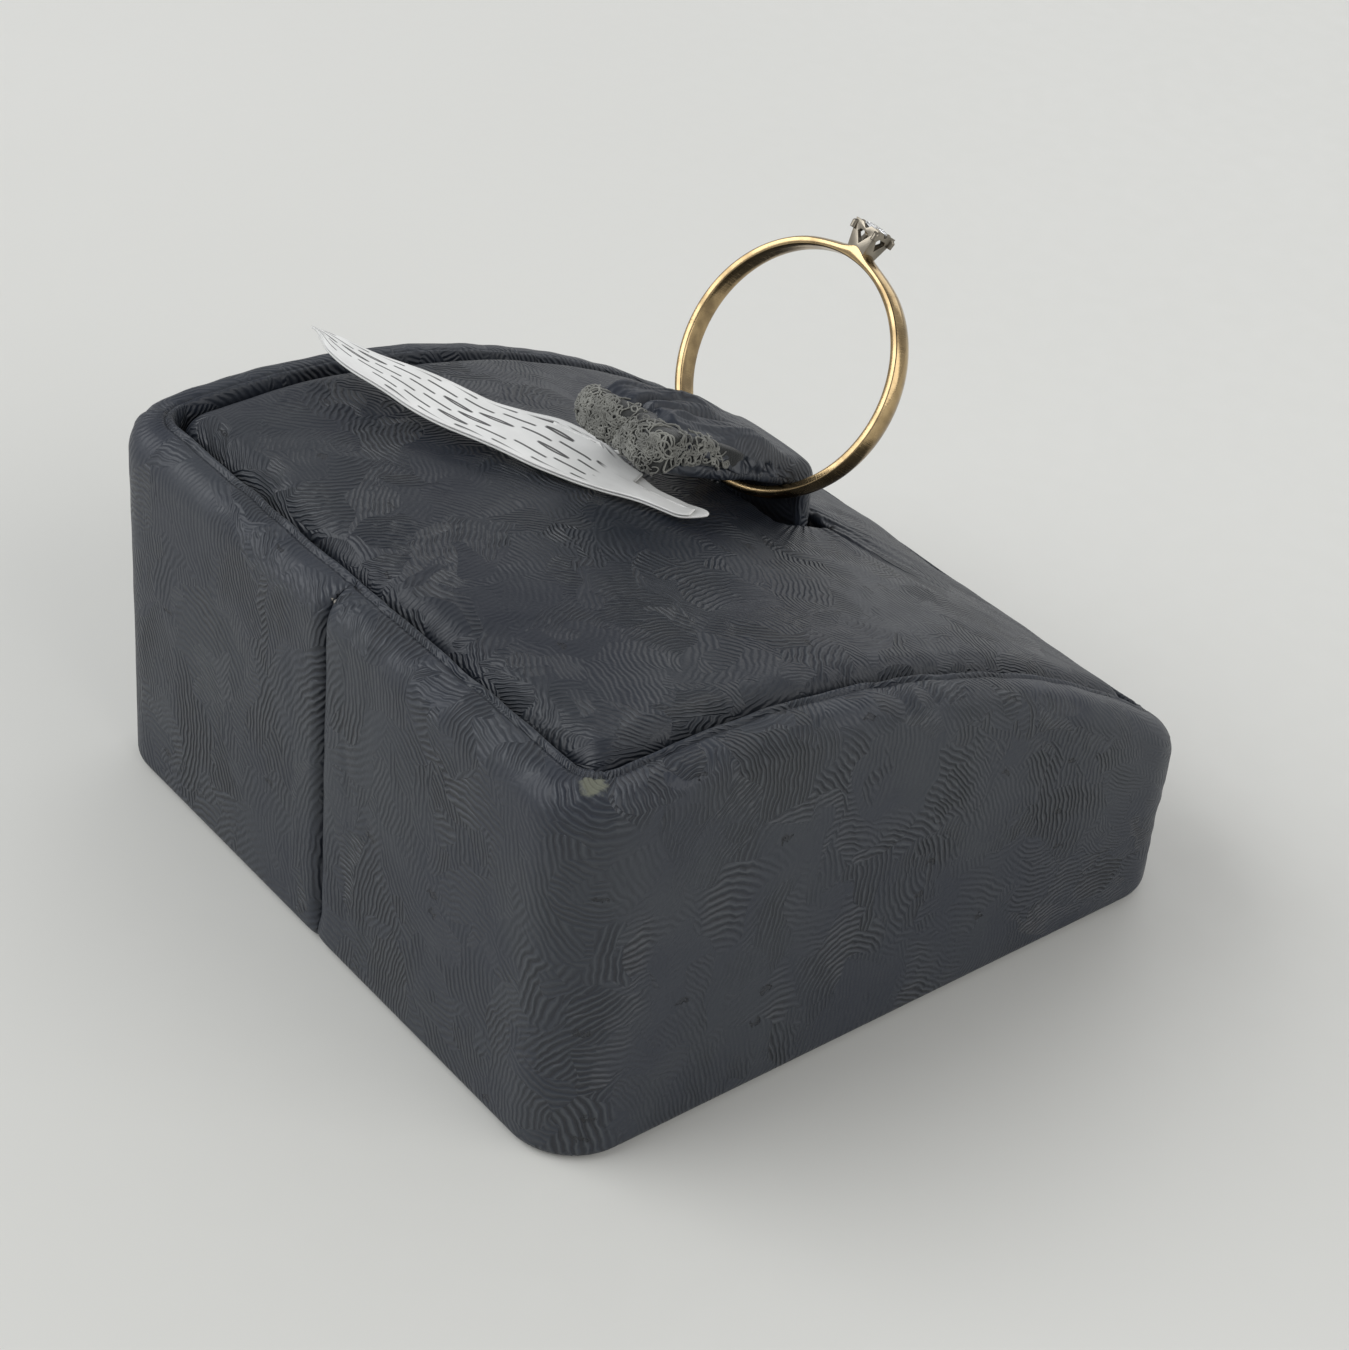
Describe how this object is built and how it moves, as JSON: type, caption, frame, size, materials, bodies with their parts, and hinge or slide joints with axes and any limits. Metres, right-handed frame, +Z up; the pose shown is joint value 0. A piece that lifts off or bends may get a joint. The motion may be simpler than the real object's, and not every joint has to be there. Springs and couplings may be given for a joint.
{
  "type": "ring display block",
  "caption": "Slanted padded block in dark leatherette with an arched top and a sprung clip tongue that holds a ring by its shank, with the ring's folded paper tag.",
  "frame": {"origin": "middle of the block's underside", "axes": "+Z up, -Y the low front, +Y the tall back with the seam, +X the viewer's right when seen from the front"},
  "size_m": [0.054, 0.0544, 0.0422],
  "materials": {
    "core_wood": "raw fibreboard and small wood packing, hidden inside",
    "greyboard": "plain grey card, hidden inside",
    "flock_paper": "flocked dark paper under the base",
    "foam": "thin open foam, hidden inside",
    "leatherette": "dark blue-grey leatherette embossed with overlapping swirls of fine lines, satin",
    "spring_steel": "thin spring strip",
    "knit_backing": "grey knitted backing of the leatherette, looped yarn over dark gaps",
    "yellow_gold": "polished yellow gold with fine wear lines",
    "white_gold": "polished white gold, dark in the corners",
    "gem": "clear brilliant-cut stone",
    "tag_paper": null
  },
  "bodies": {
    "block": {"core_block": "core_wood", "base_card": "greyboard", "base_felt": "flock_paper", "side_band": "greyboard", "side_foam": "foam", "side_cover": "leatherette", "deck_card": "greyboard", "deck_foam": "foam", "deck_cover": "leatherette", "clip_wedge": "core_wood", "clip_foot": "spring_steel"},
    "clip": {"clip_spring": "spring_steel", "clip_pad": "knit_backing", "clip_top_cover": "leatherette", "clip_under_cover": "leatherette"},
    "ring": {"ring_shank": "yellow_gold", "ring_collet": "white_gold", "ring_stone": "gem"},
    "tag": {"tag_leaf": "tag_paper", "tag_backing": "tag_paper", "tag_tail": "tag_paper"}
  },
  "joints": [
    {"name": "clip_flex", "type": "hinge", "parent": "block", "child": "clip", "pos_m": [0.0014, -0.0103, 0.0182], "axis": [1, 0, 0], "range_deg": [0, 10], "stiffness_Nm_per_rad": 0.02},
    {"name": "ring_slide", "type": "slide", "parent": "block", "child": "ring", "axis": [0, 0.9272, 0.3746], "range_m": [0, 0.016]},
    {"name": "tag_swing", "type": "hinge", "parent": "ring", "child": "tag", "pos_m": [0.00497, -0.0072, 0.0253], "axis": [0, -0.2419, 0.9703], "range_deg": [-12, 15]}
  ]
}
